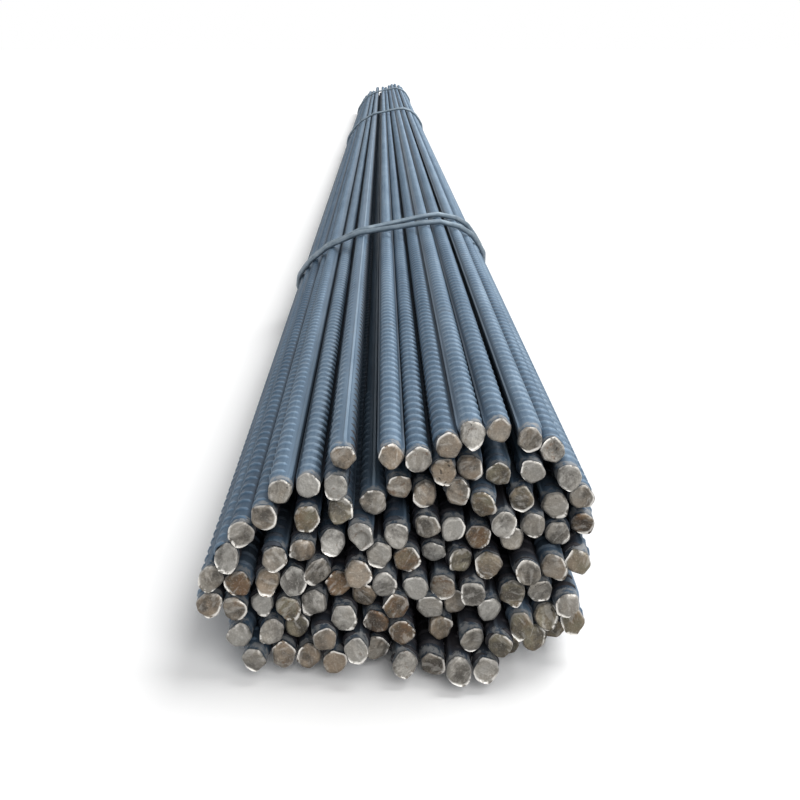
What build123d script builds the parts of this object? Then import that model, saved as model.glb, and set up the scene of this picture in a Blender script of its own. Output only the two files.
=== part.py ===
from build123d import *

import math
import os

import numpy as np

# Bars, in millimetres: nominal 20 mm deformed bar in the 6 m stock length. The gap is the
# room that the ribs keep between the bodies of two bars that touch.
bar_diameter = 20.0
bar_length = 6000.0
bar_gap = 0.7

# The sheared near ends: how far the bars reach out for each step down, as a share of the
# step, and the most that one bar stands in or out of that slope, as a share of the spacing.
end_slope_share = 0.25
end_scatter_share = 1.45

# Ties, of soft wire wound twice round the bundle: the wire, the room under it and between
# its strands, how far two ties lie from the near ends of the bars, and how far the third
# lies from the far ends.
wire_diameter = 8.0
wire_clearance = 0.4
strand_gap = 0.4
first_tie_distance = 820.0
second_tie_distance = 3400.0
far_tie_distance = 750.0

# How far each tie runs back along the bars on its way down, as a share of the way down, how
# far its second turn leaves the first over the bundle's shoulder, at most, and where that
# begins, as a share of the bundle's width.
tie_lean_shares = (1.2, 0.15, -0.1)
tie_parting_distances = (75.0, 40.0, 25.0)
parting_start_share = 0.25

# The two tails of each tie, side by side: their rise off the strands, their length down the
# side, and the radius of the bends at both ends of the rise as a share of it.
tail_rise = 14.5
tail_length = 45.0
tail_bend_share = 0.48

# Where the tails stand: the side that their run of the strands looks to, as an angle from
# level in degrees, and how far up that run, as a share of it.
tail_side_degrees = -5.0
tail_place_share = 0.6

# The photograph's frame, in pixels: where lines along the bars vanish, the row of the
# picture's centre, the focal length, the row of the highest ends, and the spacing there of
# two bars that touch.
vanishing_pixel = (382.0, 43.0)
centre_row_pixel = 400.0
focal_pixels = 900.0
top_row_pixel = 440.0
bar_spacing_pixels = 27.5

# The centre of each bar's near end in the photograph, in pixels, by layers from the floor.
end_pixels = (
    (
        (257, 660), (278, 654), (305, 655), (330, 661), (353, 651), (379, 649),
        (407, 666), (429, 664), (455, 674), (485, 672), (494, 648), (512, 645),
    ),
    (
        (239, 635), (275, 632), (301, 626), (331, 618), (326, 640), (370, 623), (395, 633),
        (431, 628), (467, 641), (503, 629), (533, 619), (557, 625), (544, 631), (526, 639),
    ),
    (
        (209, 602), (233, 609), (261, 604), (282, 608), (311, 603), (360, 595), (388, 609),
        (429, 609), (454, 604), (475, 596), (488, 611), (511, 597), (541, 594), (560, 609),
    ),
    (
        (210, 579), (236, 583), (266, 582), (291, 581), (313, 573), (334, 584), (354, 574),
        (380, 584), (411, 589), (439, 587), (483, 568), (522, 578), (550, 571), (573, 564),
    ),
    (
        (222, 557), (270, 558), (301, 550), (327, 543), (375, 556), (404, 561), (430, 552),
        (456, 563), (476, 538), (509, 542),
    ),
    (
        (239, 533), (260, 518), (303, 520), (361, 536), (391, 535), (425, 528), (450, 531),
        (500, 527), (532, 529), (559, 536), (583, 525),
    ),
    ((336, 511), (370, 504), (483, 506), (521, 500), (555, 508), (580, 501)),
    ((276, 492), (304, 487), (333, 487), (397, 487), (420, 494), (455, 494)),
    ((441, 474), (469, 468), (499, 476), (531, 474), (570, 480)),
    ((339, 458), (389, 458), (417, 462), (551, 453)),
    ((446, 447), (468, 436), (496, 433), (534, 440)),
)

# Settling of the bars against each other: how many of them the floor lifts, what each step
# pulls a bar back by, as a share of the way to its place in the photograph, the steps that
# pull, and the steps after them that only part the bars, until the largest overlap is that
# share of the spacing.
lifted_bar_count = 6
pull_share = 0.005
pull_step_count = 1000
part_step_count = 4000
overlap_share = 0.00002

# What follows from the sizes above.
bar_spacing = bar_diameter + bar_gap
strand_spacing = wire_diameter + strand_gap
wire_line_offset = bar_diameter / 2 + wire_clearance + wire_diameter / 2
view_tilt = math.atan2(centre_row_pixel - vanishing_pixel[1], focal_pixels)


def depression(row_pixel):
    """Angle below level of the sight line through a row of the photograph."""
    return view_tilt + math.atan2(row_pixel - centre_row_pixel, focal_pixels)


def depth_share(row_pixel):
    """Depth into the picture for each step forward along the bars, on that sight line."""
    return math.cos(view_tilt) + math.tan(depression(row_pixel)) * math.sin(view_tilt)


# The highest ends, in bar spacings: how far they are from the eye along the bars, and how
# far below it.
eye_distance_share = focal_pixels / bar_spacing_pixels / depth_share(top_row_pixel)
eye_drop_share = eye_distance_share * math.tan(depression(top_row_pixel))


def photographed_centres():
    """Section of the bundle, in bar spacings, as sight lines meet the slope of the ends."""
    centres = []
    for layer in end_pixels:
        for column, row in layer:
            fall = math.tan(depression(row))
            forward = eye_distance_share + end_slope_share * eye_drop_share
            forward = forward / (1 + end_slope_share * fall)
            aside = (column - vanishing_pixel[0]) / focal_pixels * depth_share(row)
            centres.append((forward * aside, -forward * fall))
    return np.array(centres)


def parted(centres, floor):
    """The centres after each overlapping pair has moved apart, and the largest overlap."""
    offsets = centres[:, None, :] - centres[None, :, :]
    distances = np.sqrt((offsets ** 2).sum(axis=2))
    np.fill_diagonal(distances, 2)
    overlaps = np.maximum(1 - distances, 0)
    moves = offsets / distances[:, :, None] * overlaps[:, :, None]
    moved = centres + moves.sum(axis=1) / 2
    moved[:, 1] = np.maximum(moved[:, 1], floor)
    return moved, overlaps.max()


def drop_bars(centres, floor):
    """Let each bar straight down, the lowest first, until a bar or the floor carries it."""
    for index in np.argsort(centres[:, 1]):
        offsets = np.delete(centres, index, axis=0) - centres[index]
        below = offsets[(abs(offsets[:, 0]) < 1) & (offsets[:, 1] < 0)]
        falls = below[:, 1] + np.sqrt(1 - below[:, 0] ** 2)
        fall = max([floor - centres[index, 1], *falls])
        centres[index, 1] += min(fall, 0)


def settled_centres():
    """The photographed section, each bar as near to its place as the others let it lie."""
    seen = photographed_centres()
    floor = np.sort(seen[:, 1])[lifted_bar_count]
    centres = seen
    for _ in range(pull_step_count):
        centres, _ = parted(centres + (seen - centres) * pull_share, floor)
    for _ in range(part_step_count):
        centres, overlap = parted(centres, floor)
        if overlap < overlap_share:
            break
    drop_bars(centres, floor)
    return centres


def near_end_places(centres):
    """Place along Y of each near end, from the row of the photograph that it shows in."""
    rows = [row for layer in end_pixels for _, row in layer]
    places = []
    for (_, height), row in zip(centres, rows):
        sloped = eye_distance_share + end_slope_share * (height + eye_drop_share)
        seen = -height / math.tan(depression(row))
        stand_out = min(max(seen - sloped, -end_scatter_share), end_scatter_share)
        places.append(sloped + stand_out)
    return np.array(places)


def outer_bars(centres):
    """The centres that a string round the bundle would touch, anticlockwise."""
    ordered = sorted(map(tuple, centres))

    def chain(points):
        kept = []
        for x, z in points:
            while len(kept) > 1:
                (x0, z0), (x1, z1) = kept[-2], kept[-1]
                if (x1 - x0) * (z - z0) - (z1 - z0) * (x - x0) > 0:
                    break
                kept.pop()
            kept.append((x, z))
        return kept

    return [Vector(x, 0, z) for x, z in chain(ordered)[:-1] + chain(ordered[::-1])[:-1]]


def outward(start, end):
    """Outward normal of an edge of the string line."""
    along = (end - start).normalized()
    return Vector(along.Z, 0, -along.X)


def make_bar(centre, near_end):
    """One bar, from its near end along +Y."""
    base = Plane(origin=(centre[0], near_end, centre[1]), z_dir=(0, 1, 0))
    return Solid.make_cylinder(bar_diameter / 2, bar_length, base)


def make_tie(corners, lean_share, parting_distance):
    """One length of wire, twice round the bundle from Y = 0 on, with its tails at the side."""
    count = len(corners)
    edges = [(corners[i], corners[(i + 1) % count]) for i in range(count)]
    normals = [outward(*edge) for edge in edges]
    tail_side = math.radians(tail_side_degrees)
    side = Vector(math.cos(tail_side), 0, math.sin(tail_side))
    tail_edge = max(range(count), key=lambda i: normals[i].dot(side))
    shift_edge = min(range(count), key=lambda i: normals[i].Z)

    start, end = edges[tail_edge]
    normal = normals[tail_edge]
    seat = start + (end - start) * tail_place_share + normal * wire_line_offset
    strand_step = strand_spacing * math.hypot(1, lean_share)
    top = max(corner.Z for corner in corners)
    right = max(corner.X for corner in corners)
    left = min(corner.X for corner in corners)
    parting = left + (right - left) * parting_start_share

    def lie(point, strand):
        """Place along the bars of a point on that strand."""
        along = lean_share * (top - point.Z) + strand * strand_step
        if strand == 1:
            share = min((point.X - parting) / (right - parting), (point.Z - seat.Z) / (top - seat.Z))
            along += parting_distance * max(share, 0)
        return point + Vector(0, along, 0)

    # The turns: from the tail's edge on, one strand further along after each crossing below.
    points = [lie(seat, 0)]
    strand = 0
    for step in range(2 * count):
        corner = (tail_edge + 1 + step) % count
        before = normals[(corner - 1) % count]
        after = normals[corner]
        reach = (before + after) * (wire_line_offset / (1 + before.dot(after)))
        points.append(lie(corners[corner] + reach, strand))
        if corner == shift_edge:
            strand += 1
    points.append(lie(seat, strand))

    # A strand that slants bends round a bar more tightly than a square one.
    radii = []
    for before, point, after in zip(points, points[1:], points[2:]):
        slopes = [abs(run.Y) / math.hypot(run.X, run.Z) for run in (point - before, after - point)]
        radii.append(wire_line_offset / (1 + max(slopes) ** 2))

    # The tails: both rise from the strands' run, close up and lie down along it.
    downward = (start - end).normalized()
    if downward.Z > 0:
        downward = -downward
    run = downward * tail_length
    last_top = (points[0] + points[-1]) / 2 + normal * tail_rise + Vector(0, strand_spacing / 2, 0)
    first_top = last_top - Vector(0, strand_spacing, 0)
    points = [first_top + run, first_top] + points + [last_top, last_top + run]
    bends = [tail_bend_share * tail_rise] * 2
    radii = bends + radii + bends

    path = FilletPolyline(*points, radius=radii)
    wire_section = Plane(origin=path @ 0, z_dir=path % 0) * Circle(wire_diameter / 2)
    return sweep(wire_section, path).solid()


section = settled_centres()
centres = section * bar_spacing
near_ends = near_end_places(section) * bar_spacing
corners = outer_bars(centres)

nodes = {}
index = 0
for number, layer in enumerate(end_pixels, start=1):
    bars = []
    for _ in layer:
        bars.append(make_bar(centres[index], near_ends[index]))
        index += 1
    nodes[f"bar_layer_{number:02d}"] = bars
mean_near_end = float(np.mean(near_ends))
tie_places = (first_tie_distance, second_tie_distance, bar_length - far_tie_distance)
ties = zip(tie_places, tie_lean_shares, tie_parting_distances)
for number, (place, lean_share, parting_distance) in enumerate(ties, start=1):
    tie = make_tie(corners, lean_share, parting_distance)
    nodes[f"tie_wire_{number}"] = [Pos(0, mean_near_end + place, 0) * tie]

# The origin: on the floor, under the middle of the bundle's box.
boxes = [solid.bounding_box() for solids in nodes.values() for solid in solids]
middle_x = (min(box.min.X for box in boxes) + max(box.max.X for box in boxes)) / 2
middle_y = (min(box.min.Y for box in boxes) + max(box.max.Y for box in boxes)) / 2
floor_z = min(box.min.Z for box in boxes)
to_origin = Pos(-middle_x, -middle_y, -floor_z)

os.makedirs("parts", exist_ok=True)
for name, solids in nodes.items():
    placed = [to_origin * solid for solid in solids]
    shape = placed[0] if len(placed) == 1 else Compound(children=placed)
    export_step(shape, f"parts/{name}.step")
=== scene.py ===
"""A bundle of ribbed reinforcing bars with sheared ends, held by twice-wound wire ties."""

import math

import bmesh
import bpy
import numpy as np
from mathutils import Euler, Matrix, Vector, noise


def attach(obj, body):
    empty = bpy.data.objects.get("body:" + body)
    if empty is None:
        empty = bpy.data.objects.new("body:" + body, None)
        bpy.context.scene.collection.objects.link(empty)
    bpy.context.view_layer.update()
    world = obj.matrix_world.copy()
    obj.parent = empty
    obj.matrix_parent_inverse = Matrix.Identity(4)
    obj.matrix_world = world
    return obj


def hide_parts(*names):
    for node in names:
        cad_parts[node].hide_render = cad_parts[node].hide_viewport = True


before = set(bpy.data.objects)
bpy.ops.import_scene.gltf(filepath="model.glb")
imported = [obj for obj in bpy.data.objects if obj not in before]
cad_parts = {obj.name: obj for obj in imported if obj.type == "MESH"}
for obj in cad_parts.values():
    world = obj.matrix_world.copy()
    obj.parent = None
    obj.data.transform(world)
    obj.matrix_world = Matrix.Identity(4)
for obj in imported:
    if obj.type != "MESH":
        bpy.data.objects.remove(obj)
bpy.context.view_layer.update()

SEED = 20260

# Lengths are in metres and angles in radians. A bar's body is a little under the nominal size
# between the ribs, and the seams and ribs stand over it.
BODY_RADIUS = 0.0095
BODY_POINTS = 24
BODY_SHARP_ANGLE = math.radians(38)
SEAM_HEIGHT = 0.0012
SEAM_TOP_HALF = 0.0009
SEAM_FOOT_HALF = 0.0019
RIB_HEIGHT = 0.0014
RIB_FOOT_HALF = 0.0030
RIB_TOP_HALF = 0.0008
RIB_SINK = 0.0003
RIB_PITCH = 0.0132
RIB_SLANT = math.radians(9)
RIB_REACH = math.radians(76)
RIB_SWELL_POWER = 3.5
RIB_TIP_SHARE = 0.55
RIB_SHARP_ANGLE = math.radians(100)
FINE_STATIONS = 6
PLAIN_STATIONS = 4
WELD_DISTANCE = 1e-5

# Rib rows: those that show run from end to end, with finer ribs near the camera, and those
# that face other bars stand only near the ends. Most outer bars lie with a row outwards.
ROW_MARGIN = RIB_PITCH * 0.6
FINE_LENGTH = 0.75
HIDDEN_LENGTH = 0.22
FAR_HIDDEN_LENGTH = 0.12
ROW_OUTWARD_SHARE = 0.85
ROW_TURN = math.radians(24)
BAR_SHADES = (0.2, 1.0)

# What covers a bar, told by rays from its middle: how far to either side an open ray makes a
# rib row show and keeps the painted shade off, and how far down a ray may reach before the floor
# stops it. Less painted shade lies on a bar at the bottom of an open slot, which has few open
# rays, and on the short rows that face other bars.
EXPOSURE_RAYS = 72
EXPOSED_HALF = math.radians(62)
COVER_HALF = math.radians(55)
FLOOR_REACH = 0.06
SLOT_RAYS = 14
SLOT_COVER = 0.62
SHORT_ROW_COVER = 0.75

# Sheared ends: the length that the blades deform, and the rings there, as the distance from
# the cut in shares of that length, how far the deformation has gone, how much the scale has
# come off, how strong the painted shade at the edge is, and how much of the painted shade
# between the bars is left.
CUT_LENGTH = 0.018
CUT_RINGS = (
    (3.20, 0.00, 0.0, 0.0, 1.00),
    (1.00, 0.00, 0.3, 0.0, 0.62),
    (0.70, 0.15, 0.8, 0.0, 0.54),
    (0.40, 0.50, 1.0, 0.0, 0.44),
    (0.16, 0.85, 1.0, 0.2, 0.40),
    (0.04, 1.00, 0.9, 0.6, 0.40),
)

# The rings of a cut face, as shares of its radius, with the strength of the painted highlight
# on its rim all round and what the burr adds to it.
FACE_RINGS = (
    (1.00, 0.35, 0.65),
    (0.97, 0.35, 0.65),
    (0.93, 0.12, 0.78),
    (0.87, 0.00, 0.40),
    (0.80, 0.00, 0.00),
    (0.65, 0.00, 0.00),
    (0.45, 0.00, 0.00),
    (0.22, 0.00, 0.00),
)
ROLLED_SHARE = 0.8
BURR_FLARE = 0.3

# What is drawn for each cut: its tilt, the flats round its face with how far they stray and lie
# in, the drag of the face to the side, the burr, the rolled edge, the ridge between the rubbed
# and the torn part with the step there, the dish, the roughness, and the face's size and tone.
UPWARD_TILT = math.radians(12)
TILT_SPREAD = math.radians(8)
FLAT_COUNTS = (6, 9)
FLAT_STRAY = 0.28
FLAT_REACHES = (0.85, 1.0)
DRAG_SPREAD = 0.0006
BURR_HEIGHTS = (0.0003, 0.0014)
BURR_HALVES = (0.7, 1.6)
ROLL_DEPTHS = (0.0010, 0.0034)
RIDGE_PLACES = (-0.5, 0.4)
STEP_HEIGHTS = (0.0, 0.0014)
DISH_DEPTHS = (-0.0002, 0.0010)
ROUGH_HEIGHTS = (0.0002, 0.0006)
NOISE_PLACES = (0, 100)
TONE_SHARES = {0.06: 0.20, 0.22: 0.26, 0.42: 0.22, 0.58: 0.16, 0.78: 0.10, 0.95: 0.06}
TONE_SPREAD = 0.05
PIT_AMOUNTS = (0, 0.5)
CORE_MEAN = 0.05
CORE_SPREAD = 0.35
FACE_SIZES = (1.01, 1.08)

# The form of a face: how sharp its corners are and how far they stand out, how the burr falls
# off, the waves, bow and sharpness of the ridge, the fold and the hollow that single faces
# have, and the grain of its roughness and of its tears.
CORNER_POWER = 18
CORNER_LIMIT = 0.9
LIP_POWER = 0.7
RIDGE_WAVE = 0.22
RIDGE_WAVE_RATE = 2.6
RIDGE_BOW = 0.2
RIDGE_SHARPNESS = 9
FOLD_BOW = 0.25
FOLD_HALF = 0.2
HOLLOW_MIDDLE = (0.05, -0.22)
HOLLOW_HALF = 0.55
HOLLOW_SHARPNESS = 12
EDGE_ROUGHNESS = 0.35
ROUGHNESS_RISE = 2.5
GRAIN_RATE = 260
GRAIN_FRACTAL = (1.0, 2.0, 3)
TEAR_ACROSS_RATE = 7
TEAR_ALONG_RATE = 1.6

# Ends that stand out in the photograph, by the pixel of their middle: what sets each apart
# from the run of the cuts.
SPECIAL_ENDS = {
    (361, 536): {"hollow": 0.0042, "tone": 0.05},
    (455, 494): {"fold": 0.0016, "tone": 0.35},
    (469, 468): {"fold": 0.0014, "tone": 0.46},
    (521, 500): {"tear": 0.0009, "tone": 0.66, "pits": 1.0},
    (441, 474): {"tear": 0.0009, "tone": 0.50, "pits": 1.0},
    (475, 596): {"tear": 0.0012, "tone": 0.10},
    (379, 649): {"tear": 0.0011, "tone": 0.30, "pits": 0.8},
    (333, 487): {"tear": 0.0008, "tone": 0.05},
    (334, 584): {"tone": 0.98, "stain": 1.0},
    (476, 538): {"tone": 0.97, "stain": 1.0},
    (534, 440): {"tone": 0.36, "pits": 0.7},
    (551, 453): {"tone": 0.15, "pits": 0.8},
    (488, 611): {"tone": 0.00, "stain": 0.0},
    (261, 604): {"tone": 0.00, "stain": 0.0},
    (468, 436): {"tone": 0.08, "pits": 0.4},
    (496, 433): {"tone": 0.38, "dish": 0.0012},
    (503, 629): {"tone": 0.72, "core": 0.30},
    (533, 619): {"tone": 0.82, "core": 0.35},
    (557, 625): {"tone": 0.88, "stain": 0.8, "core": 0.30},
    (544, 631): {"tone": 0.84, "core": 0.45},
    (526, 639): {"tone": 0.80, "core": 0.45},
    (512, 645): {"tone": 0.78, "core": 0.50},
    (494, 648): {"tone": 0.74, "core": 0.45},
}

# Ties: the wire, its line round the outer bars' middles, the step from strand to strand, and
# for each tie its place from the mean near end, how far it runs back on its way down, and how
# far the second turn leaves the first over the bundle's shoulder.
WIRE_RADIUS = 0.0040
WIRE_OFFSET = 0.0148
WIRE_SIDES = 14
STRAND_STEP = 0.0084
TIES = {
    "tie_wire_1": (0.820, 1.20, 0.075),
    "tie_wire_2": (3.400, 0.15, 0.040),
    "tie_wire_3": (5.250, -0.10, 0.025),
}

# The line of a tie: where across the bundle its turns begin to part, its steps along a straight
# and round a bend, the steps that ease its changes, and its drift off true.
PARTING_START = 0.25
LINE_STEP = 0.004
BEND_STEP = 0.1
EASING_STEPS = 7
WIRE_DRIFT = 0.0010
DRIFT_ACROSS_RATE = 12
DRIFT_ALONG_RATE = 3

# The tails of a tie: the side that they stand on and how far up its run, their rise off the
# strands, and the twist down from there.
TAIL_SIDE = math.radians(-5)
TAIL_PLACE = 0.6
TAIL_RISE = 0.0145
TAIL_LEAD = 0.010
TAIL_LEAD_STEPS = 8
TAIL_LENGTH = 0.045
TAIL_TURNS = 1.4
TWIST_STEPS = 36
TWIST_RADIUS = WIRE_RADIUS * 1.03

# Colours of the mill scale, of what lies on it, of the painted shade between the bars and at
# the cut's edge, of the sheared steel with its painted rim highlight, and of the tie wire.
SCALE_STOPS = (
    (0.10, (0.015, 0.032, 0.058, 1)),
    (0.40, (0.046, 0.086, 0.135, 1)),
    (0.68, (0.122, 0.188, 0.264, 1)),
    (0.95, (0.245, 0.330, 0.420, 1)),
)
SCALE_RUST = (0.12, 0.092, 0.072, 1)
DUST = (0.048, 0.043, 0.046, 1)
SHAFT_PAINTED_SHADE = (0.006, 0.010, 0.016, 1)
END_PAINTED_SHADE = (0.020, 0.017, 0.019, 1)
PEELED_STEEL = (0.29, 0.292, 0.29, 1)
CUT_EDGE_SHADE = (0.012, 0.011, 0.010, 1)
FACE_STOPS = (
    (0.00, (0.288, 0.279, 0.258, 1)),
    (0.28, (0.226, 0.206, 0.176, 1)),
    (0.52, (0.224, 0.176, 0.129, 1)),
    (0.76, (0.160, 0.145, 0.103, 1)),
    (1.00, (0.140, 0.086, 0.049, 1)),
)
TORN_STEEL = (0.050, 0.045, 0.039, 1)
RUBBED_STEEL = (0.50, 0.482, 0.450, 1)
DARK_GRIT = (0.055, 0.047, 0.040, 1)
BRIGHT_GRIT = (0.72, 0.69, 0.64, 1)
FACE_RUST = (0.120, 0.066, 0.034, 1)
PIT = (0.020, 0.018, 0.016, 1)
RIM_HIGHLIGHT = (0.88, 0.855, 0.81, 1)
WIRE_STOPS = (
    (0.25, (0.125, 0.170, 0.212, 1)),
    (0.55, (0.215, 0.275, 0.328, 1)),
    (0.80, (0.345, 0.410, 0.460, 1)),
)
WIRE_RUST = (0.15, 0.105, 0.075, 1)

# Dust lies between the bars near their cuts, where the painted shade between them turns from
# blue to neutral: how far from the bundle's middle it starts and where it is thick.
DUST_START = 2.900
DUST_FULL = 2.975

# What each vertex of a bar carries for its material.
BAR_VALUES = ("shade", "crest", "cover", "bare", "dark", "cut", "rim", "tone", "stain", "pits",
              "torn", "core", "grain")

# The camera, from the bars' vanishing point and the places of their ends in the photograph.
PHOTO_WIDTH = 800
FOCAL_PIXELS = 900.0
CAMERA_PLACE = Vector((-0.0136, -3.5915, 0.4608))
CAMERA_PITCH = math.radians(21.637)
CAMERA_YAW = math.radians(1.065)
CAMERA_REACH = 100.0
SENSOR_WIDTH = 36.0

# Light: a soft one from above on the right, a little from behind, and a wider one from the
# front right, with the way to each, its strength and its spread, and a dim white surround.
# The floor reaches far past the bundle and is grey for the light that it throws back.
LIGHTS = {
    "overhead": ((0.58, 0.45, 1.0), 0.68, math.radians(36)),
    "front": ((0.55, -1.0, 0.95), 0.53, math.radians(55)),
}
SKY_LIGHT = 0.33
FLOOR_HALF = 60
FLOOR_LIGHT = 0.40
WHITE = (1, 1, 1, 1)


class Wire:
    """An output socket of a node tree, with arithmetic that adds the Math nodes."""

    def __init__(self, tree, output=None):
        self.tree = tree
        self.output = output

    def node(self, kind, settings=None, inputs=None, output=0):
        """A new node: its settings first, then the values or links of its sockets."""
        made = self.tree.nodes.new(kind)
        for name, value in (settings or {}).items():
            if name == "stops":
                fill_ramp(made.color_ramp, value)
            else:
                setattr(made, name, value)
        for name, value in (inputs or {}).items():
            if isinstance(value, Wire):
                self.tree.links.new(value.output, made.inputs[name])
            else:
                made.inputs[name].default_value = value
        return Wire(self.tree, made.outputs[output] if made.outputs else None)

    def math(self, operation, *values):
        """A Math node on these values."""
        return self.node("ShaderNodeMath", {"operation": operation}, dict(enumerate(values)))

    def __add__(self, other):
        return self.math("ADD", self, other)

    def __sub__(self, other):
        return self.math("SUBTRACT", self, other)

    def __rsub__(self, other):
        return self.math("SUBTRACT", other, self)

    def __mul__(self, other):
        return self.math("MULTIPLY", self, other)

    __radd__ = __add__
    __rmul__ = __mul__

    def step(self, low, high):
        """0 below low, 1 above high, with a smooth change between."""
        settings = {"interpolation_type": "SMOOTHSTEP"}
        inputs = {"Value": self, "From Min": low, "From Max": high}
        return self.node("ShaderNodeMapRange", settings, inputs)

    def mix(self, first, second):
        """Two colours mixed by this value, at the Mix node's sockets for colours."""
        return self.node("ShaderNodeMix", {"data_type": "RGBA"}, {0: self, 6: first, 7: second}, 2)

    def ramp(self, stops):
        """The colour that these (place, colour) stops have at this value."""
        return self.node("ShaderNodeValToRGB", {"stops": stops}, {"Fac": self})

    def noise(self, scale, detail, roughness, distortion=0.0):
        """Noise on this vector, from 0 to 1."""
        inputs = {"Vector": self, "Scale": scale, "Detail": detail}
        inputs.update({"Roughness": roughness, "Distortion": distortion})
        return self.node("ShaderNodeTexNoise", None, inputs)

    def stretched(self, scale):
        """This vector with its axes scaled."""
        return self.node("ShaderNodeMapping", None, {"Vector": self, "Scale": scale})


def fill_ramp(ramp, stops):
    """Give a colour ramp these (place, colour) stops."""
    while len(ramp.elements) < len(stops):
        ramp.elements.new(1.0)
    for element, (place, colour) in zip(ramp.elements, stops):
        element.position = place
        element.color = colour


def new_material(name):
    """An empty node material and a maker of its nodes."""
    material = bpy.data.materials.new(name)
    material.use_nodes = True
    tree = material.node_tree
    tree.nodes.clear()
    return material, Wire(tree)


def close_material(maker, shader):
    """Join the shader to the material's output."""
    maker.node("ShaderNodeOutputMaterial", None, {"Surface": shader})


def object_place(maker):
    """The place of a point of the surface, in the object's own frame."""
    return maker.node("ShaderNodeTexCoord", None, None, "Object")


def carried_value(maker, name):
    """A number that each vertex carries under that name."""
    return maker.node("ShaderNodeAttribute", {"attribute_name": name}, None, "Fac")


def mill_scale(place, carried, cloud):
    """Colour of the scale: cloudy, streaked along the bar, painted highlights on the rib crests.

    It has painted shade where bars lie against each other and towards the ends of the ribs,
    dusty there near the cuts, the shear has peeled it off next to a cut, and a thin ring of
    painted shade lies just behind the cut's edge.
    """
    shade = carried["shade"]
    cover = carried["cover"]
    streak = place.stretched((420.0, 5.0, 420.0)).noise(1.0, 3.0, 0.6)
    # Painted highlight: the crests of the ribs and seams are lighter.
    depth = cloud * 0.40 + streak * 0.30 + shade * 0.40 + carried["crest"] * 0.24 - 0.125
    colour = depth.ramp(SCALE_STOPS)
    rust = (place.noise(55.0, 5.0, 0.7) + shade * 0.12).step(0.68, 0.84)
    colour = (rust * 0.3).mix(colour, SCALE_RUST)
    along = place.node("ShaderNodeSeparateXYZ", None, {"Vector": place}, "Y")
    near_cuts = along.math("ABSOLUTE", along).step(DUST_START, DUST_FULL)
    dust = cover.step(0.30, 0.80) * near_cuts
    colour = (dust * 0.65).mix(colour, DUST)
    # Painted shade: the colour darkens where the bar faces other bars and towards the ends of the
    # ribs, bluish along the shafts and neutral near the cuts.
    rib_end_shade = carried["flank"].step(0.8, 1.0)
    painted_shade = cover.math("MAXIMUM", cover.step(0.08, 0.85) * 0.95, rib_end_shade * 0.5)
    colour = painted_shade.mix(colour, near_cuts.mix(SHAFT_PAINTED_SHADE, END_PAINTED_SHADE))
    peeled = (carried["bare"] * place.noise(170.0, 4.0, 0.7)).step(0.38, 0.56)
    colour = (peeled * 0.8).mix(colour, PEELED_STEEL)
    # Painted shade: a thin dark ring just behind the edge of the cut face.
    return (carried["dark"] * 0.8).mix(colour, CUT_EDGE_SHADE)


def sheared_steel(place, carried, smear, speckle, rim_highlight):
    """Colour of a cut face: from silver through tan and olive to rust brown.

    The blade has rubbed one side smooth and bright, and the other has torn off dull and rough.
    A painted highlight runs along the rim, strongest on the burr.
    """
    blotch = place.noise(110.0, 2.0, 0.5)
    broad = place.noise(170.0, 2.0, 0.5)
    grit = place.noise(760.0, 2.0, 0.6)
    colour = (carried["tone"] + (blotch - 0.5) * 0.40).ramp(FACE_STOPS)
    dull = carried["torn"] * 0.40 + carried["core"] + (broad - 0.5) * 1.5 + (speckle - 0.5) * 0.6
    colour = (dull.step(0.0, 0.9) * 0.85).mix(colour, TORN_STEEL)
    colour = (smear.step(0.53, 0.68) * 0.32).mix(colour, RUBBED_STEEL)
    colour = (grit.step(0.50, 0.66) * 0.14).mix(colour, DARK_GRIT)
    colour = ((1 - grit).step(0.54, 0.68) * 0.12).mix(colour, BRIGHT_GRIT)
    rust = (place.noise(190.0, 4.0, 0.65) + carried["stain"] * 0.24).step(0.74, 0.90)
    colour = (rust * 0.55).mix(colour, FACE_RUST)
    holes = (place.noise(300.0, 1.0, 0.4) + carried["pits"] * 0.14).step(0.78, 0.84)
    colour = (holes * 0.8).mix(colour, PIT)
    # Painted highlight along the rim of the face, strongest on the burr.
    return (rim_highlight * 0.92).mix(colour, RIM_HIGHLIGHT)


def bar_steel_material():
    """Blue-grey mill scale on the shafts and bare, stained steel on the sheared ends."""
    material, maker = new_material("bar_steel")
    place = object_place(maker)
    carried = {name: carried_value(maker, name) for name in BAR_VALUES + ("flank",)}
    cut = carried["cut"]
    cloud = place.stretched((40.0, 9.0, 40.0)).noise(1.0, 4.0, 0.6)
    fine = place.noise(900.0, 3.0, 0.65)
    speckle = place.noise(420.0, 3.0, 0.6)
    grained = maker.node("ShaderNodeVectorRotate", {"rotation_type": "Y_AXIS"},
                         {"Vector": place, "Angle": carried["grain"]})
    smear = grained.stretched((240.0, 80.0, 90.0)).noise(1.0, 2.0, 0.5, 0.4)
    # The mask of the painted highlight on the face's rim, broken by noise.
    rim_highlight = carried["rim"] * place.noise(240.0, 2.0, 0.5).step(0.38, 0.50)
    colour = cut.mix(mill_scale(place, carried, cloud),
                     sheared_steel(place, carried, smear, speckle, rim_highlight))
    roughness = 0.54 + (fine - 0.5) * 0.25 - cut * 0.10 + carried["torn"] * 0.10 - rim_highlight * 0.10
    height = fine * 0.5 + cloud * 0.5 + cut * (smear * 2.5 + speckle)
    bump = maker.node("ShaderNodeBump", None,
                      {"Strength": 0.6, "Distance": 0.0005, "Height": height})
    close_material(maker, maker.node("ShaderNodeBsdfPrincipled", None, {
        "Base Color": colour, "Roughness": roughness, "Metallic": 0.25 + cut * 0.25,
        "Normal": bump, "Specular IOR Level": 0.35}))
    return material


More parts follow.
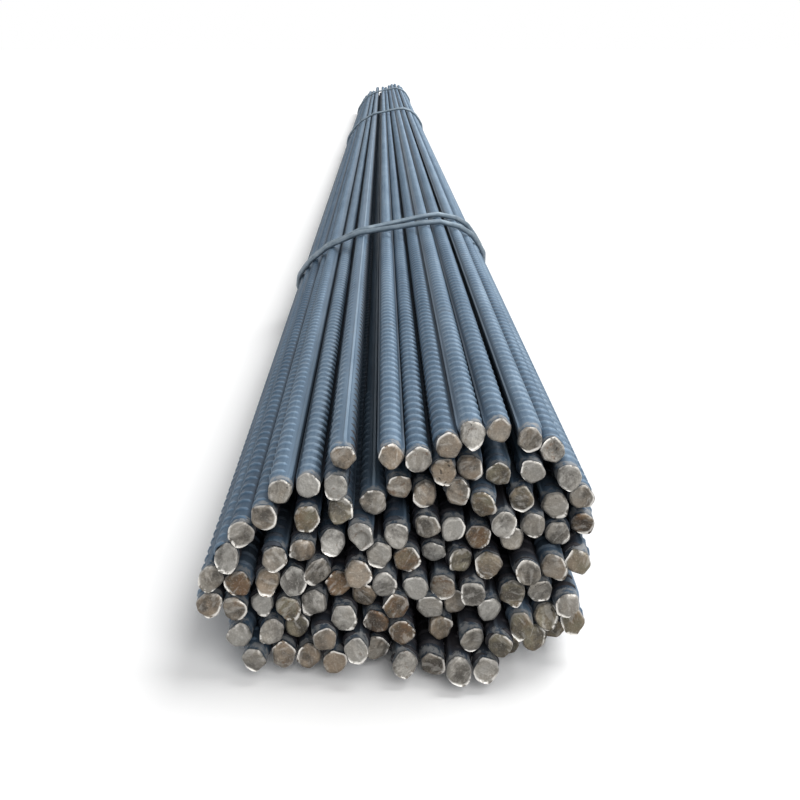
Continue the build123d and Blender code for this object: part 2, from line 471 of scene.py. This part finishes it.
def tie_wire_material():
    """Soft wire rod with grey scale, rubbed bright in places."""
    material, maker = new_material("tie_wire")
    place = object_place(maker)
    cloud = place.noise(70.0, 4.0, 0.6)
    fine = place.noise(800.0, 3.0, 0.6)
    rust = place.noise(150.0, 4.0, 0.65).step(0.62, 0.76)
    colour = (rust * 0.35).mix(cloud.ramp(WIRE_STOPS), WIRE_RUST)
    bump = maker.node("ShaderNodeBump", None,
                      {"Strength": 0.4, "Distance": 0.0003, "Height": fine + cloud})
    close_material(maker, maker.node("ShaderNodeBsdfPrincipled", None, {
        "Base Color": colour, "Roughness": 0.42 + fine * 0.2, "Metallic": 0.45, "Normal": bump}))
    return material


def shown_ray(maker):
    """1 for rays that show the surroundings as they are seen, 0 for those that only light."""
    path = maker.tree.nodes.new("ShaderNodeLightPath")
    seen, mirrored, through = [
        Wire(maker.tree, path.outputs[name])
        for name in ("Is Camera Ray", "Is Glossy Ray", "Is Transmission Ray")]
    return maker.math("MAXIMUM", seen, maker.math("MAXIMUM", mirrored, through))


def add_object(name, mesh):
    """A new object at the origin."""
    added = bpy.data.objects.new(name, mesh)
    bpy.context.scene.collection.objects.link(added)
    return added


def write_values(mesh, values):
    """Give the vertices of a mesh the numbers that they carry, by name."""
    for name, numbers in values.items():
        layer = mesh.attributes.new(name, "FLOAT", "POINT")
        layer.data.foreach_set("value", np.array(numbers, dtype=np.float32))


def smooth(mesh, sharp_angle):
    """Shade a mesh smoothly, up to that angle between faces."""
    mesh.polygons.foreach_set("use_smooth", [True] * len(mesh.polygons))
    mesh.set_sharp_from_angle(angle=sharp_angle)


def bars_of(node):
    """Each bar of a layer: the middle of its section, and where it starts and ends."""
    solid = bmesh.new()
    solid.from_mesh(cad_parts[node].data)
    bmesh.ops.remove_doubles(solid, verts=solid.verts, dist=WELD_DISTANCE)
    solid.verts.ensure_lookup_table()
    seen = set()
    bars = []
    for start in solid.verts:
        if start in seen:
            continue
        seen.add(start)
        island = []
        reached = [start]
        while reached:
            vertex = reached.pop()
            island.append(vertex.co.copy())
            for edge in vertex.link_edges:
                other = edge.other_vert(vertex)
                if other not in seen:
                    seen.add(other)
                    reached.append(other)
        low = [min(point[axis] for point in island) for axis in range(3)]
        high = [max(point[axis] for point in island) for axis in range(3)]
        bars.append({
            "x": (low[0] + high[0]) / 2, "z": (low[2] + high[2]) / 2,
            "near": low[1], "far": high[1]})
    solid.free()
    return sorted(bars, key=lambda bar: (round(bar["x"], 4), round(bar["z"], 4)))


def mark_exposed(bars):
    """Give each bar the directions in which no other bar and no floor covers it."""
    places = np.array([(bar["x"], bar["z"]) for bar in bars])
    angles = np.arange(EXPOSURE_RAYS) * 2 * math.pi / EXPOSURE_RAYS
    rays = np.stack([np.cos(angles), np.sin(angles)], axis=1)
    for index, bar in enumerate(bars):
        others = np.delete(places, index, axis=0) - places[index]
        ahead = others @ rays.T
        aside = np.abs(others[:, :1] * rays[None, :, 1] - others[:, 1:] * rays[None, :, 0])
        hidden = ((ahead > 0) & (aside < BODY_RADIUS)).any(axis=0)
        hidden |= bar["z"] + rays[:, 1] * FLOOR_REACH < 0
        bar["open"] = angles[~hidden]


def open_turns(bar, angle):
    """How far each open direction of a bar is turned from that angle."""
    return np.abs((bar["open"] - angle + math.pi) % (2 * math.pi) - math.pi)


def faces_out(bar, angle):
    """Whether a rib row whose middle looks that way shows on the outside of the bundle."""
    return bool((open_turns(bar, angle) < EXPOSED_HALF).any())


def covered(bar, angle):
    """How much of what a bar's surface sees at that angle is other bars, from 0 to 1.

    A bar at the bottom of an open slot gets less painted shade than those that lie closed in.
    """
    seen = (open_turns(bar, angle) < COVER_HALF).sum() / (COVER_HALF * EXPOSURE_RAYS / math.pi)
    in_slot = 0 < len(bar["open"]) < SLOT_RAYS
    return max(0.0, 1 - seen) * (SLOT_COVER if in_slot else 1.0)


def body_outline(spin):
    """Angles and radii round a bar: a round with the two seams that the rolls leave."""
    foot = SEAM_FOOT_HALF / BODY_RADIUS
    top = SEAM_TOP_HALF / BODY_RADIUS
    points = []
    for side in (0, math.pi):
        points += [(side - foot, BODY_RADIUS), (side - top, BODY_RADIUS + SEAM_HEIGHT),
                   (side + top, BODY_RADIUS + SEAM_HEIGHT), (side + foot, BODY_RADIUS)]
        count = BODY_POINTS // 2
        for step in range(1, count):
            points.append((side + foot + (math.pi - 2 * foot) * step / count, BODY_RADIUS))
    return [(angle + spin, radius) for angle, radius in points]


class Cut:
    """The shape of one sheared end, drawn from a seeded generator."""

    def __init__(self, random, faces_camera, special):
        count = random.integers(*FLAT_COUNTS)
        first = random.uniform(0, 2 * math.pi)
        self.flats = []
        for index in range(count):
            place = index + random.uniform(-FLAT_STRAY, FLAT_STRAY)
            self.flats.append((first + place * 2 * math.pi / count, random.uniform(*FLAT_REACHES)))
        self.shear = random.uniform(0, 2 * math.pi)
        lean = UPWARD_TILT if faces_camera else 0.0
        self.rise = math.tan(lean + random.normal(0, TILT_SPREAD))
        self.yaw = math.tan(random.normal(0, TILT_SPREAD))
        self.drag = random.normal(0, DRAG_SPREAD, 2)
        self.burr = random.uniform(*BURR_HEIGHTS)
        self.burr_place = random.uniform(0, 2 * math.pi)
        self.burr_half = random.uniform(*BURR_HALVES)
        self.roll = random.uniform(*ROLL_DEPTHS)
        self.ridge = random.uniform(*RIDGE_PLACES)
        self.step = random.uniform(*STEP_HEIGHTS)
        self.dish = random.uniform(*DISH_DEPTHS)
        self.rough = random.uniform(*ROUGH_HEIGHTS)
        self.seed = random.uniform(*NOISE_PLACES)
        self.tone = float(random.choice(list(TONE_SHARES), p=list(TONE_SHARES.values())))
        self.tone += random.normal(0, TONE_SPREAD)
        self.stain = random.uniform(0, 1) ** 2
        self.pits = random.uniform(*PIT_AMOUNTS)
        self.core = random.normal(CORE_MEAN, CORE_SPREAD)
        self.size = random.uniform(*FACE_SIZES)
        self.fold = 0.0
        self.hollow = 0.0
        self.tear = 0.0
        for name, value in special.items():
            setattr(self, name, value)

    def radius(self, angle):
        """Outline of the cut face: a round with several flats, its corners eased."""
        total = CORNER_LIMIT ** CORNER_POWER
        for place, reach in self.flats:
            total += max(0.0, math.cos(angle - place) / reach) ** CORNER_POWER
        return BODY_RADIUS * self.size * total ** (-1 / CORNER_POWER)

    def lip(self, angle):
        """How much of the burr stands at that angle, from 0 to 1."""
        turn = abs((angle - self.burr_place + math.pi) % (2 * math.pi) - math.pi)
        return max(0.0, math.cos(min(turn / self.burr_half, 1.0) * math.pi / 2)) ** LIP_POWER

    def blade_place(self, x, z):
        """A point of the face, along and across the blade's way, in shares of the radius."""
        along = (x * math.cos(self.shear) + z * math.sin(self.shear)) / BODY_RADIUS
        across = (z * math.cos(self.shear) - x * math.sin(self.shear)) / BODY_RADIUS
        return along, across

    def burnish(self, x, z):
        """0 where the blade has rubbed the face smooth, 1 where the steel has torn off."""
        along, across = self.blade_place(x, z)
        wave = RIDGE_WAVE * math.sin(RIDGE_WAVE_RATE * across + self.seed)
        edge = self.ridge + wave - RIDGE_BOW * across ** 2
        return 1 / (1 + math.exp(-RIDGE_SHARPNESS * (along - edge)))

    def depth(self, x, z, share):
        """How far a point of the face lies inside the plane of the bar's end."""
        along, across = self.blade_place(x, z)
        depth = self.rise * z + self.yaw * x + self.dish * (1 - share ** 2)
        depth += self.step * (self.burnish(x, z) - 0.5)
        depth -= self.fold * math.exp(-((along - FOLD_BOW * across ** 2) / FOLD_HALF) ** 2)
        away = math.hypot(x / BODY_RADIUS - HOLLOW_MIDDLE[0], z / BODY_RADIUS - HOLLOW_MIDDLE[1])
        depth += self.hollow / (1 + math.exp(HOLLOW_SHARPNESS * (away - HOLLOW_HALF)))
        inside = min(1.0, ROUGHNESS_RISE * (1 - share) + EDGE_ROUGHNESS)
        grain = noise.fractal(Vector((x * GRAIN_RATE, self.seed, z * GRAIN_RATE)), *GRAIN_FRACTAL)
        torn = noise.noise(Vector((across * TEAR_ACROSS_RATE, self.seed, along * TEAR_ALONG_RATE)))
        return depth + inside * (self.rough * grain + self.tear * torn)


class BarMesh:
    """The shafts and cut ends of a layer's bars, gathered as arrays."""

    def __init__(self):
        self.points = []
        self.faces = []
        self.values = {name: [] for name in BAR_VALUES}

    def ring(self, points, **values):
        """Add a ring of points, and say what they carry."""
        first = len(self.points)
        self.points += points
        for name, kept in self.values.items():
            value = values.get(name, 0.0)
            kept += value if isinstance(value, list) else [value] * len(points)
        return list(range(first, first + len(points)))

    def band(self, first, second):
        """Join two rings, the second further along +Y, with the faces out."""
        count = len(first)
        for index in range(count):
            after = (index + 1) % count
            self.faces.append((first[index], second[index], second[after], first[after]))

    def mesh(self, name):
        """All that was added, as one mesh."""
        mesh = bpy.data.meshes.new(name)
        mesh.from_pydata(self.points, [], self.faces)
        write_values(mesh, self.values)
        smooth(mesh, BODY_SHARP_ANGLE)
        return mesh


def add_cut(built, bar, outline, cut, end, inward):
    """The rings of one end, from the plain shaft to the middle of the cut face."""
    rings = []
    carried = {"shade": bar["shade"], "tone": cut.tone, "stain": cut.stain, "pits": cut.pits,
               "grain": cut.shear}

    def point(x, z, depth, change):
        return (bar["x"] + x + cut.drag[0] * change, end + inward * depth,
                bar["z"] + z + cut.drag[1] * change)

    covers = [covered(bar, angle) for angle, _ in outline]
    for share, change, bare, dark, painted_shade in CUT_RINGS:
        ring = []
        for angle, radius in outline:
            blended = radius + (cut.radius(angle) - radius) * change
            x = blended * math.cos(angle)
            z = blended * math.sin(angle)
            depth = share * CUT_LENGTH + cut.depth(x, z, 1.0) * max(0.0, 1 - share)
            ring.append(point(x, z, depth + cut.roll * (1 - cut.lip(angle)) * change, change))
        crests = [float(radius > BODY_RADIUS) * (1 - change) for _, radius in outline]
        rings.append(built.ring(ring, bare=bare, dark=dark, crest=crests,
                                cover=[cover * painted_shade for cover in covers], **carried))
    for share, rim, burr_rim in FACE_RINGS:
        ring = []
        rims = []
        torn = []
        for angle, _ in outline:
            lip = cut.lip(angle)
            burr = cut.burr * lip if share == 1.0 else 0.0
            edge = cut.radius(angle) + burr * BURR_FLARE
            x = edge * share * math.cos(angle)
            z = edge * share * math.sin(angle)
            depth = cut.depth(x, z, share) - burr
            if share > ROLLED_SHARE:
                rolled = ((share - ROLLED_SHARE) / (1 - ROLLED_SHARE)) ** 2
                depth += cut.roll * (1 - lip) * rolled
            ring.append(point(x, z, depth, 1.0))
            rims.append(rim + burr_rim * lip)
            torn.append(cut.burnish(x, z))
        rings.append(built.ring(ring, rim=rims, cut=1.0, torn=torn,
                                core=cut.core * (1 - share ** 2), **carried))
    middle = built.ring([point(0, 0, cut.depth(0, 0, 0), 1.0)], cut=1.0, torn=cut.burnish(0, 0),
                        core=cut.core, **carried)[0]
    for outer, inner in zip(rings, rings[1:]):
        if inward > 0:
            built.band(inner, outer)
        else:
            built.band(outer, inner)
    last = rings[-1]
    for index in range(len(last)):
        after = (index + 1) % len(last)
        if inward > 0:
            built.faces.append((last[index], last[after], middle))
        else:
            built.faces.append((last[after], last[index], middle))
    return rings[0]


def photo_pixel(point):
    """Where the camera sees a point, in the photograph's pixels."""
    ray = point - CAMERA_PLACE
    ray.rotate(Euler((CAMERA_PITCH - math.pi / 2, 0, 0)).to_matrix()
               @ Euler((0, 0, CAMERA_YAW)).to_matrix())
    middle = Vector((PHOTO_WIDTH, PHOTO_WIDTH)) / 2
    return Vector((ray.x, -ray.y)) * (FOCAL_PIXELS / -ray.z) + middle


def mark_special_ends(bars):
    """Give the bars that end nearest to the photograph's special ends their differences."""
    for bar in bars:
        bar["special"] = {}
        bar["pixel"] = photo_pixel(Vector((bar["x"], bar["near"], bar["z"])))
    for pixel, special in SPECIAL_ENDS.items():
        nearest = min(bars, key=lambda bar: (bar["pixel"] - Vector(pixel)).length)
        nearest["special"] = special


def turn_bars(bars):
    """Give each bar its turn about its axis, its shade and the place of its first rib."""
    for bar in bars:
        random = np.random.default_rng((SEED, bar["number"]))
        bar["spin"] = random.uniform(0, math.pi)
        outwards = random.uniform() < ROW_OUTWARD_SHARE
        turn = random.normal(0, ROW_TURN)
        if outwards and len(bar["open"]):
            middle = np.arctan2(np.sin(bar["open"]).mean(), np.cos(bar["open"]).mean())
            bar["spin"] = middle - math.pi / 2 + turn
        bar["shade"] = random.uniform(*BAR_SHADES)
        bar["phase"] = random.uniform(0, RIB_PITCH)


def bar_shafts(name, bars):
    """The shafts and ends of one layer as one mesh."""
    built = BarMesh()
    for bar in bars:
        random = np.random.default_rng((SEED, bar["number"], 1))
        outline = body_outline(bar["spin"])
        near = add_cut(built, bar, outline, Cut(random, True, bar["special"]), bar["near"], 1)
        far = add_cut(built, bar, outline, Cut(random, False, {}), bar["far"], -1)
        built.band(near, far)
    return built.mesh(name)


def rib_shape(name, stations):
    """One crescent rib about the Y axis, its middle towards +X."""
    points = []
    crests = []
    flanks = []
    faces = []
    foot = BODY_RADIUS - RIB_SINK

    def place(angle, along, radius):
        drift = angle * BODY_RADIUS * math.tan(RIB_SLANT)
        points.append((radius * math.cos(angle), drift + along, radius * math.sin(angle)))
        crests.append(float(radius > BODY_RADIUS))
        flanks.append(abs(angle) / RIB_REACH)
        return len(points) - 1

    rings = [[place(-RIB_REACH, 0, foot)]]
    for step in range(1, stations):
        share = -1 + 2 * step / stations
        angle = share * RIB_REACH
        swell = 1 - abs(share) ** RIB_SWELL_POWER
        half = RIB_FOOT_HALF * (RIB_TIP_SHARE + (1 - RIB_TIP_SHARE) * swell)
        top = BODY_RADIUS + RIB_HEIGHT * swell
        rings.append([place(angle, -half, foot), place(angle, -RIB_TOP_HALF, top),
                      place(angle, RIB_TOP_HALF, top), place(angle, half, foot)])
    rings.append([place(RIB_REACH, 0, foot)])
    for first, second in zip(rings, rings[1:]):
        for index in range(4):
            after = (index + 1) % 4
            if len(first) == 1:
                faces.append((first[0], second[index], second[after]))
            elif len(second) == 1:
                faces.append((first[index], first[after], second[0]))
            else:
                faces.append((first[index], first[after], second[after], second[index]))
    shell = bmesh.new()
    corners = [shell.verts.new(point) for point in points]
    for face in faces:
        shell.faces.new([corners[index] for index in face])
    bmesh.ops.recalc_face_normals(shell, faces=shell.faces)
    mesh = bpy.data.meshes.new(name)
    shell.to_mesh(mesh)
    shell.free()
    write_values(mesh, {"crest": crests, "flank": flanks})
    smooth(mesh, RIB_SHARP_ANGLE)
    return add_object(name, mesh)


def rib_rows(name, rows):
    """Straight lines that ribs stand along, each with its turn about the bar and its shade."""
    points = []
    edges = []
    values = {"turn": [], "shade": [], "cover": []}
    for bar, angle, start, end in rows:
        edges.append((len(points), len(points) + 1))
        points += [(bar["x"], start, bar["z"]), (bar["x"], end, bar["z"])]
        cover = covered(bar, angle) * (1.0 if faces_out(bar, angle) else SHORT_ROW_COVER)
        values["turn"] += [-angle] * 2
        values["shade"] += [bar["shade"]] * 2
        values["cover"] += [cover] * 2
    mesh = bpy.data.meshes.new(name)
    mesh.from_pydata(points, edges, [])
    write_values(mesh, values)
    return add_object(name, mesh)


def layer_rows(bars):
    """The rib rows of a layer: fine ones near the camera, plain ones beyond."""
    fine = []
    plain = []
    for bar in bars:
        for side in (math.pi / 2, -math.pi / 2):
            angle = bar["spin"] + side
            start = bar["near"] + ROW_MARGIN + bar["phase"]
            end = bar["far"] - ROW_MARGIN
            if faces_out(bar, angle):
                fine.append((bar, angle, start, bar["near"] + FINE_LENGTH))
                plain.append((bar, angle, bar["near"] + FINE_LENGTH + RIB_PITCH, end))
            else:
                fine.append((bar, angle, start, bar["near"] + HIDDEN_LENGTH))
                plain.append((bar, angle, bar["far"] - FAR_HIDDEN_LENGTH, end))
    return fine, plain


def new_tree(name, inputs):
    """A Geometry Nodes tree with these named inputs, a maker of its nodes and a getter of inputs."""
    tree = bpy.data.node_groups.new(name, "GeometryNodeTree")
    tree.interface.new_socket("Geometry", in_out="INPUT", socket_type="NodeSocketGeometry")
    for label, kind in inputs:
        tree.interface.new_socket(label, in_out="INPUT", socket_type=kind)
    tree.interface.new_socket("Geometry", in_out="OUTPUT", socket_type="NodeSocketGeometry")
    given = tree.nodes.new("NodeGroupInput")

    def taken(label):
        return Wire(tree, given.outputs[label])

    return tree, Wire(tree), taken


def close_tree(maker, geometry, material):
    """Make the instances real, give them the material and join them to the tree's output."""
    solid = maker.node("GeometryNodeRealizeInstances", None, {"Geometry": geometry})
    dressed = maker.node("GeometryNodeSetMaterial", None,
                         {"Geometry": solid, "Material": material})
    maker.node("NodeGroupOutput", None, {"Geometry": dressed})


def rolled_ribs_tree():
    """Ribs stood along their rows and joined to the shafts that they were rolled with."""
    tree, maker, taken = new_tree("rolled_ribs", (
        ("Fine rows", "NodeSocketObject"), ("Plain rows", "NodeSocketObject"),
        ("Fine rib", "NodeSocketObject"), ("Plain rib", "NodeSocketObject"),
        ("Rib pitch", "NodeSocketFloat"), ("Material", "NodeSocketMaterial")))

    def shape_of(label):
        return maker.node("GeometryNodeObjectInfo", None, {"Object": taken(label)}, "Geometry")

    def ribs(rows, rib):
        line = maker.node("GeometryNodeMeshToCurve", None, {"Mesh": shape_of(rows)})
        spots = maker.node("GeometryNodeResampleCurve", {"mode": "LENGTH"},
                           {"Curve": line, "Length": taken("Rib pitch")})
        turn = maker.node("GeometryNodeInputNamedAttribute", {"data_type": "FLOAT"},
                          {"Name": "turn"})
        angles = maker.node("ShaderNodeCombineXYZ", None, {"Y": turn})
        rotation = maker.node("FunctionNodeEulerToRotation", None, {"Euler": angles})
        return maker.node("GeometryNodeInstanceOnPoints", None, {
            "Points": spots, "Instance": shape_of(rib), "Rotation": rotation})

    join = tree.nodes.new("GeometryNodeJoinGeometry")
    for part in (ribs("Plain rows", "Plain rib"), ribs("Fine rows", "Fine rib"), taken("Geometry")):
        tree.links.new(part.output, join.inputs[0])
    close_tree(maker, Wire(tree, join.outputs[0]), taken("Material"))
    return tree


def drawn_wire_tree():
    """A round wire drawn along a line of edges."""
    tree, maker, taken = new_tree("drawn_wire", (
        ("Wire radius", "NodeSocketFloat"), ("Sides", "NodeSocketInt"),
        ("Material", "NodeSocketMaterial")))
    line = maker.node("GeometryNodeMeshToCurve", None, {"Mesh": taken("Geometry")})
    round_section = maker.node("GeometryNodeCurvePrimitiveCircle", None,
                               {"Resolution": taken("Sides"), "Radius": taken("Wire radius")})
    tube = maker.node("GeometryNodeCurveToMesh", None, {
        "Curve": line, "Profile Curve": round_section, "Fill Caps": True})
    close_tree(maker, tube, taken("Material"))
    return tree


def grow(piece, tree, inputs):
    """Run a Geometry Nodes tree with these inputs on a piece, and keep what it makes as its mesh."""
    modifier = piece.modifiers.new(tree.name, "NODES")
    modifier.node_group = tree
    for item in tree.interface.items_tree:
        if item.in_out == "INPUT" and item.name in inputs:
            modifier[item.identifier] = inputs[item.name]
    ready = piece.evaluated_get(bpy.context.evaluated_depsgraph_get())
    mesh = bpy.data.meshes.new_from_object(ready)
    piece.modifiers.clear()
    piece.data = mesh


def outer_corners(bars):
    """The bars that a string round the bundle would touch, anticlockwise seen from the front."""
    ordered = sorted((bar["x"], bar["z"]) for bar in bars)

    def chain(points):
        kept = []
        for x, z in points:
            while len(kept) > 1:
                (x0, z0), (x1, z1) = kept[-2], kept[-1]
                if (x1 - x0) * (z - z0) - (z1 - z0) * (x - x0) > 0:
                    break
                kept.pop()
            kept.append((x, z))
        return kept[:-1]

    return chain(ordered) + chain(ordered[::-1])


def string_line(corners):
    """Once round the bundle, from the seat of the tails on, and the outward normal there.

    The line keeps WIRE_OFFSET from the middles of the outer bars, in even short steps.
    """
    count = len(corners)
    normals = []
    for index in range(count):
        along = np.array(corners[(index + 1) % count]) - corners[index]
        normals.append(np.array((along[1], -along[0])) / np.hypot(*along))
    looks = np.array((math.cos(TAIL_SIDE), math.sin(TAIL_SIDE)))
    tail = max(range(count), key=lambda index: normals[index] @ looks)
    start = np.array(corners[tail])
    end = np.array(corners[(tail + 1) % count])
    seat = start + (end - start) * TAIL_PLACE + normals[tail] * WIRE_OFFSET
    rough = [seat]
    for step in range(1, count + 1):
        corner = (tail + step) % count
        first = math.atan2(normals[corner - 1][1], normals[corner - 1][0])
        last = math.atan2(normals[corner][1], normals[corner][0])
        turn = (last - first) % (2 * math.pi)
        bends = max(2, math.ceil(turn / BEND_STEP))
        for bend in range(bends + 1):
            angle = first + turn * bend / bends
            reach = WIRE_OFFSET * np.array((math.cos(angle), math.sin(angle)))
            rough.append(corners[corner] + reach)
    rough = np.array(rough + [seat])
    passed = np.concatenate([[0], np.cumsum(np.hypot(*np.diff(rough, axis=0).T))])
    places = np.linspace(0, passed[-1], round(passed[-1] / LINE_STEP))
    line = np.stack([np.interp(places, passed, rough[:, axis]) for axis in range(2)], axis=1)
    return line, normals[tail]


def eased(values):
    """A row of values with its sharp changes spread over a few steps."""
    window = np.hanning(2 * EASING_STEPS + 3)[1:-1]
    before = np.full(EASING_STEPS, values[0])
    after = np.full(EASING_STEPS, values[-1])
    return np.convolve(np.concatenate([before, values, after]), window / window.sum(), "valid")


def twisted_tail(foot, axis_top, outward, downward, side):
    """One of a tie's two tails: off its strand, then down round the other one."""
    across = Vector((0, 1, 0))
    top = axis_top + across * TWIST_RADIUS * (2 * side - 1)
    points = []
    if side == 0:
        for step in range(1, TAIL_LEAD_STEPS):
            share = step / TAIL_LEAD_STEPS
            ease = share * share * (3 - 2 * share)
            points.append(foot.lerp(top, ease) + downward * TAIL_LEAD * share)
    else:
        middle = (foot + top) / 2
        for step in range(1, TAIL_LEAD_STEPS):
            angle = math.pi * step / TAIL_LEAD_STEPS
            points.append(middle + (foot - middle) * math.cos(angle)
                          - downward * (TAIL_RISE / 2 * math.sin(angle)))
        points.append(top)
    for step in range(TWIST_STEPS + 1):
        share = step / TWIST_STEPS
        angle = math.pi * (1 - side) + 2 * math.pi * TAIL_TURNS * share
        swing = across * math.cos(angle) + outward * math.sin(angle)
        length = TAIL_LEAD + (TAIL_LENGTH - TAIL_LEAD) * share
        points.append(axis_top + downward * length + swing * TWIST_RADIUS)
    return points


def tie_path(name, bars):
    """The line of one tie: a tail, twice round the bundle with a slant, and the other tail."""
    place, lean, parting = TIES[name]
    first_y = np.mean([bar["near"] for bar in bars]) + place
    corners = outer_corners(bars)
    line, normal = string_line(corners)
    top = max(z for _, z in corners)
    right = max(x for x, _ in corners)
    left = min(x for x, _ in corners)
    parted = left + (right - left) * PARTING_START
    seat_z = line[0][1]
    under = np.flatnonzero(line[:, 1] < line[:, 1].min() + WIRE_RADIUS)
    crossing = np.clip((np.arange(len(line)) - under[0]) / (under[-1] - under[0]), 0, 1)
    shoulder = np.minimum((line[:, 0] - parted) / (right - parted),
                          (line[:, 1] - seat_z) / (top - seat_z))
    along = []
    for turn in range(2):
        strands = (turn + crossing) * STRAND_STEP * math.hypot(1, lean)
        along.append(first_y + lean * (top - line[:, 1]) + strands
                     + turn * parting * np.maximum(shoulder, 0))
    turns = []
    for index, y in enumerate(eased(np.concatenate(along))):
        x, z = line[index % len(line)]
        spot = Vector((x * DRIFT_ACROSS_RATE, z * DRIFT_ACROSS_RATE, y * DRIFT_ALONG_RATE))
        turns.append(Vector((x, y + noise.noise(spot) * WIRE_DRIFT, z)))
    outward = Vector((normal[0], 0, normal[1]))
    downward = Vector((normal[1], 0, -normal[0]))
    axis_top = (turns[0] + turns[-1]) / 2 + outward * TAIL_RISE
    first = twisted_tail(turns[0], axis_top, outward, downward, 0)
    last = twisted_tail(turns[-1], axis_top, outward, downward, 1)
    return first[::-1] + turns + last


# The bars, layer by layer.
bar_steel = bar_steel_material()
tie_wire = tie_wire_material()
layer_names = sorted(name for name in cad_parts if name.startswith("bar_layer"))
layers = {name: bars_of(name) for name in layer_names}
bars = [bar for name in layer_names for bar in layers[name]]
for number, bar in enumerate(bars):
    bar["number"] = number
mark_exposed(bars)
mark_special_ends(bars)
turn_bars(bars)

fine_rib = rib_shape("fine_rib", FINE_STATIONS)
plain_rib = rib_shape("plain_rib", PLAIN_STATIONS)
rolled_ribs = rolled_ribs_tree()
for name in layer_names:
    piece = add_object(name.replace("bar_layer", "ribbed_bars"), bar_shafts(name, layers[name]))
    fine, plain = layer_rows(layers[name])
    fine_lines = rib_rows("fine_lines", fine)
    plain_lines = rib_rows("plain_lines", plain)
    grow(piece, rolled_ribs, {
        "Fine rows": fine_lines, "Plain rows": plain_lines, "Fine rib": fine_rib,
        "Plain rib": plain_rib, "Rib pitch": RIB_PITCH, "Material": bar_steel})
    for helper in (fine_lines, plain_lines):
        bpy.data.objects.remove(helper)
    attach(piece, "root")
    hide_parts(name)
for helper in (fine_rib, plain_rib):
    bpy.data.objects.remove(helper)

# The ties.
drawn_wire = drawn_wire_tree()
for name in sorted(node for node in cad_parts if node.startswith("tie_wire")):
    path = tie_path(name, bars)
    mesh = bpy.data.meshes.new(name)
    mesh.from_pydata(path, [(index, index + 1) for index in range(len(path) - 1)], [])
    piece = add_object(name.replace("tie_wire", "wound_tie"), mesh)
    grow(piece, drawn_wire, {
        "Wire radius": WIRE_RADIUS, "Sides": WIRE_SIDES, "Material": tie_wire})
    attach(piece, "root")
    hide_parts(name)

# The floor: white where it is seen, a little darker for the light that it throws back.
floor_corners = [(x * FLOOR_HALF, y * FLOOR_HALF, 0) for x, y in ((-1, -1), (1, -1), (1, 1), (-1, 1))]
floor_mesh = bpy.data.meshes.new("floor")
floor_mesh.from_pydata(floor_corners, [], [(0, 1, 2, 3)])
floor = add_object("floor", floor_mesh)
floor_material, floor_maker = new_material("pale_floor")
floor_grey = (FLOOR_LIGHT, FLOOR_LIGHT, FLOOR_LIGHT, 1)
floor_colour = shown_ray(floor_maker).mix(floor_grey, WHITE)
close_material(floor_maker, floor_maker.node(
    "ShaderNodeBsdfDiffuse", None, {"Color": floor_colour}))
floor_mesh.materials.append(floor_material)

# The white surround and the lights.
world = bpy.data.worlds.new("studio")
bpy.context.scene.world = world
world.use_nodes = True
world.node_tree.nodes.clear()
sky = Wire(world.node_tree)
sky_strength = SKY_LIGHT + shown_ray(sky) * (1 - SKY_LIGHT)
backdrop = sky.node("ShaderNodeBackground", None, {"Color": WHITE, "Strength": sky_strength})
sky.node("ShaderNodeOutputWorld", None, {"Surface": backdrop})
for name, (source, strength, spread) in LIGHTS.items():
    sun = bpy.data.lights.new(name, "SUN")
    sun.angle = spread
    sun.energy = strength * math.pi
    lamp = bpy.data.objects.new(name, sun)
    lamp.rotation_euler = Vector(source).to_track_quat("Z", "Y").to_euler()
    bpy.context.scene.collection.objects.link(lamp)

# The camera.
lens = bpy.data.cameras.new("camera")
lens.sensor_width = SENSOR_WIDTH
lens.lens = FOCAL_PIXELS / PHOTO_WIDTH * SENSOR_WIDTH
lens.clip_end = CAMERA_REACH
camera = bpy.data.objects.new("camera", lens)
camera.location = CAMERA_PLACE
camera.rotation_euler = (math.pi / 2 - CAMERA_PITCH, 0, -CAMERA_YAW)
bpy.context.scene.collection.objects.link(camera)
bpy.context.scene.camera = camera
bpy.context.scene.view_settings.view_transform = "Standard"
